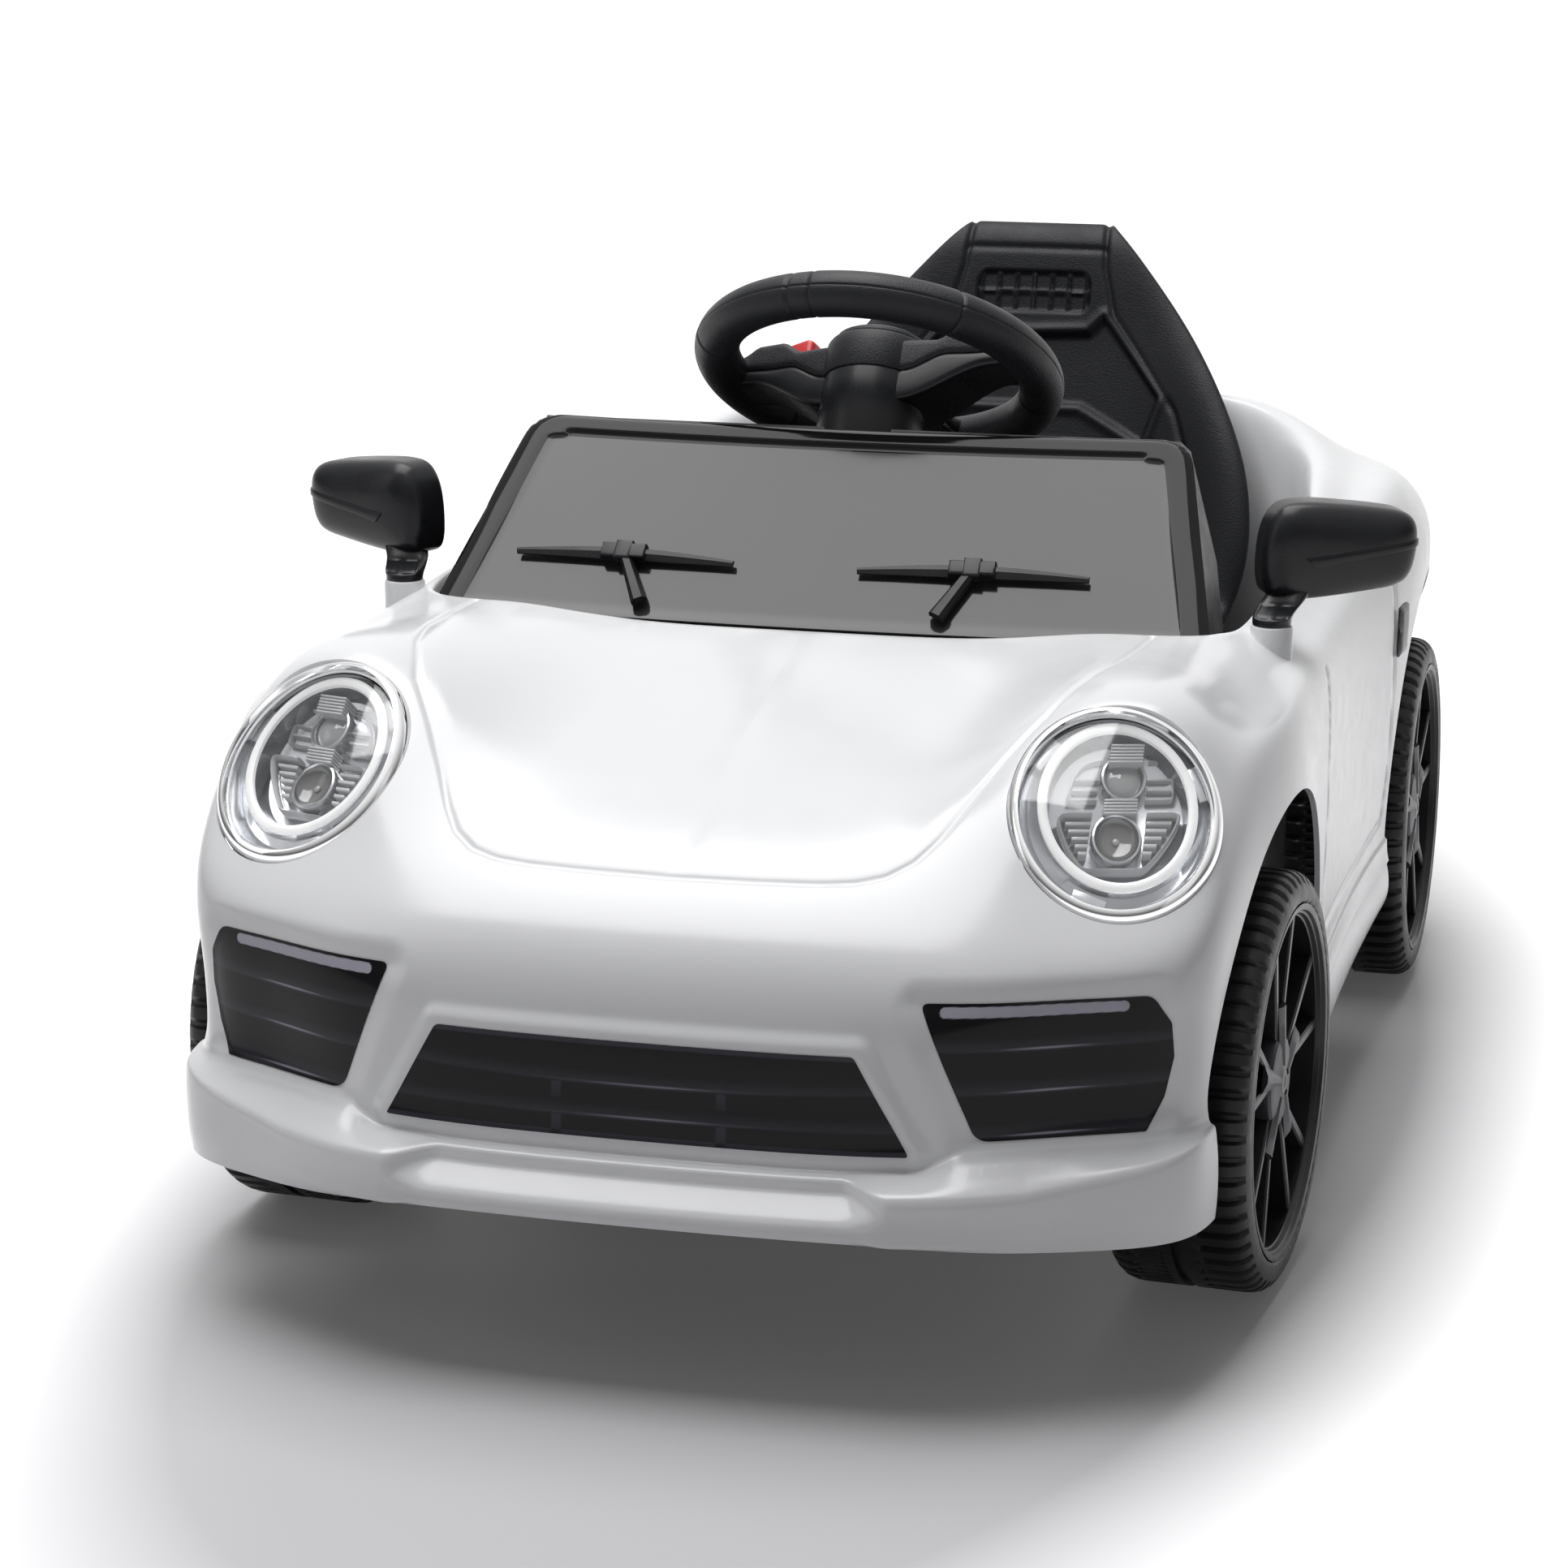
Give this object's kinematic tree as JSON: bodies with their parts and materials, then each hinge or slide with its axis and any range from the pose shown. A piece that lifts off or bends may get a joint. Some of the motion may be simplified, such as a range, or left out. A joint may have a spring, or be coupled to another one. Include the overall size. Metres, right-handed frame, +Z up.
{
  "type": "electric ride-on car",
  "caption": "Child-size electric ride-on car with a glossy one-piece body, smoked windshield, round headlamps, bucket seat, steered front wheels, geared rear drive, pedal and folding mirrors.",
  "frame": {"origin": "middle of the overall box on the ground under the car", "axes": "+Z up, the nose points along -Y, the driver's left is +X"},
  "size_m": [0.641, 1.016, 0.4992],
  "materials": {
    "white_body": "gloss",
    "black_pan": "satin",
    "black_trim": "satin",
    "black_gloss": "high gloss",
    "seat_black": "grained",
    "tyre_black": "matte",
    "rim_black": "satin",
    "cap_grey": "satin",
    "chrome": "polished",
    "lamp_glass": "clear",
    "lamp_inner": "clear gloss",
    "tail_red": "translucent gloss",
    "mirror_glass": "mirror",
    "red_button": "gloss",
    "steel": "zinc plated",
    "gear_nylon": "matte",
    "battery_grey": "matte",
    "decal_black": "gloss"
  },
  "bodies": {
    "car": {"body_shell": "white_body", "chassis_pan": "black_pan", "column_bracket": "black_pan", "gearbox_case": "black_pan", "gearbox_cover": "black_pan", "pedal_base": "black_pan", "control_box": "black_pan", "dashboard": "black_trim", "wipers": "black_trim", "charging_socket": "black_trim", "handle_trims": "black_trim", "windshield": "black_gloss", "front_decals": "decal_black", "seat": "seat_black", "headlamp_bezel_left": "chrome", "headlamp_cup_left": "chrome", "headlamp_lens_left": "lamp_glass", "headlamp_projectors_left": "lamp_inner", "headlamp_bezel_right": "chrome", "headlamp_cup_right": "chrome", "headlamp_lens_right": "lamp_glass", "headlamp_projectors_right": "lamp_inner", "tail_lights": "tail_red", "front_beam": "steel", "rear_axle": "steel", "rear_nuts": "steel", "body_screws": "steel", "motor": "steel", "battery": "battery_grey"},
    "steering": {"steering_wheel": "black_trim", "hub_pad": "black_trim", "steering_shaft": "steel"},
    "horn": {"horn_button": "red_button"},
    "music": {"music_button": "red_button"},
    "tie": {"tie_rod": "steel"},
    "knuckle_l": {"knuckle_left": "steel"},
    "knuckle_r": {"knuckle_right": "steel"},
    "wheel_fl": {"front_tyre_left": "tyre_black", "front_rim_left": "rim_black", "front_cap_left": "cap_grey"},
    "wheel_fr": {"front_tyre_right": "tyre_black", "front_rim_right": "rim_black", "front_cap_right": "cap_grey"},
    "wheel_rl": {"rear_tyre_left": "tyre_black", "rear_rim_left": "rim_black", "rear_cap_left": "cap_grey", "drive_gear": "gear_nylon"},
    "wheel_rr": {"rear_tyre_right": "tyre_black", "rear_rim_right": "rim_black", "rear_cap_right": "cap_grey"},
    "idler": {"idler_gear": "gear_nylon"},
    "pinion": {"motor_pinion": "gear_nylon"},
    "pedal_arm": {"pedal": "black_trim"},
    "power": {"power_button": "red_button"},
    "rocker": {"direction_rocker": "black_trim"},
    "mirror_l": {"mirror_left": "black_trim", "mirror_glass_left": "mirror_glass"},
    "mirror_r": {"mirror_right": "black_trim", "mirror_glass_right": "mirror_glass"}
  },
  "joints": [
    {"name": "steering_turn", "type": "hinge", "parent": "car", "child": "steering", "pos_m": [0, -0.002, 0.433], "axis": [0, 0.5664, 0.8241], "range_deg": [-40.5, 69.5]},
    {"name": "tie_slide", "type": "slide", "parent": "car", "child": "tie", "axis": [1, 0, 0], "range_m": [-0.0129, 0.0076]},
    {"name": "knuckle_left_steer", "type": "hinge", "parent": "car", "child": "knuckle_l", "pos_m": [0.172, -0.255, 0.11], "axis": [0, 0, 1], "range_deg": [-10.3, 17.6]},
    {"name": "knuckle_right_steer", "type": "hinge", "parent": "car", "child": "knuckle_r", "pos_m": [-0.172, -0.255, 0.11], "axis": [0, 0, 1], "range_deg": [-10.3, 17.6]},
    {"name": "front_left_spin", "type": "hinge", "parent": "knuckle_l", "child": "wheel_fl", "pos_m": [0.172, -0.255, 0.11], "axis": [0.998, -0.0632, 0], "continuous": true},
    {"name": "front_right_spin", "type": "hinge", "parent": "knuckle_r", "child": "wheel_fr", "pos_m": [-0.172, -0.255, 0.11], "axis": [0.998, -0.0632, 0], "continuous": true},
    {"name": "rear_left_spin", "type": "hinge", "parent": "car", "child": "wheel_rl", "pos_m": [0.246, 0.333, 0.11], "axis": [1, 0, 0], "continuous": true},
    {"name": "rear_right_spin", "type": "hinge", "parent": "car", "child": "wheel_rr", "pos_m": [-0.246, 0.333, 0.11], "axis": [1, 0, 0], "continuous": true},
    {"name": "idler_spin", "type": "hinge", "parent": "car", "child": "idler", "pos_m": [0.175, 0.3033, 0.1397], "axis": [1, 0, 0], "continuous": true},
    {"name": "pinion_spin", "type": "hinge", "parent": "car", "child": "pinion", "pos_m": [0.165, 0.2753, 0.1397], "axis": [1, 0, 0], "continuous": true},
    {"name": "pedal_press", "type": "hinge", "parent": "car", "child": "pedal_arm", "pos_m": [-0.084, -0.112, 0.112], "axis": [1, 0, 0], "range_deg": [0, 14], "stiffness_Nm_per_rad": 0.8, "springref_deg": -6.88},
    {"name": "horn_press", "type": "slide", "parent": "steering", "child": "horn", "axis": [0, -0.5664, -0.8241], "range_m": [0, 0.002], "stiffness_N_per_m": 300, "springref_m": -0.0015},
    {"name": "music_press", "type": "slide", "parent": "steering", "child": "music", "axis": [0, -0.5664, -0.8241], "range_m": [0, 0.002], "stiffness_N_per_m": 300, "springref_m": -0.0015},
    {"name": "power_press", "type": "slide", "parent": "car", "child": "power", "axis": [0, -1, 0], "range_m": [0, 0.002], "stiffness_N_per_m": 300, "springref_m": -0.0015},
    {"name": "direction_rock", "type": "hinge", "parent": "car", "child": "rocker", "pos_m": [-0.096, -0.035, 0.36], "axis": [1, 0, 0], "range_deg": [-7, 7]},
    {"name": "mirror_left_swivel", "type": "hinge", "parent": "car", "child": "mirror_l", "pos_m": [0.2475, -0.122, 0.3215], "axis": [0, 0, 1], "range_deg": [-20, 20]},
    {"name": "mirror_right_swivel", "type": "hinge", "parent": "car", "child": "mirror_r", "pos_m": [-0.2475, -0.122, 0.3215], "axis": [0, 0, 1], "range_deg": [-20, 20]}
  ],
  "couplings": [
    {"joint": "tie_slide", "follows": "steering_turn", "m_per_rad": -0.0105},
    {"joint": "knuckle_left_steer", "follows": "steering_turn", "ratio": 0.25},
    {"joint": "knuckle_right_steer", "follows": "steering_turn", "ratio": 0.25},
    {"joint": "idler_spin", "follows": "rear_left_spin", "ratio": -3},
    {"joint": "pinion_spin", "follows": "rear_left_spin", "ratio": 9}
  ]
}
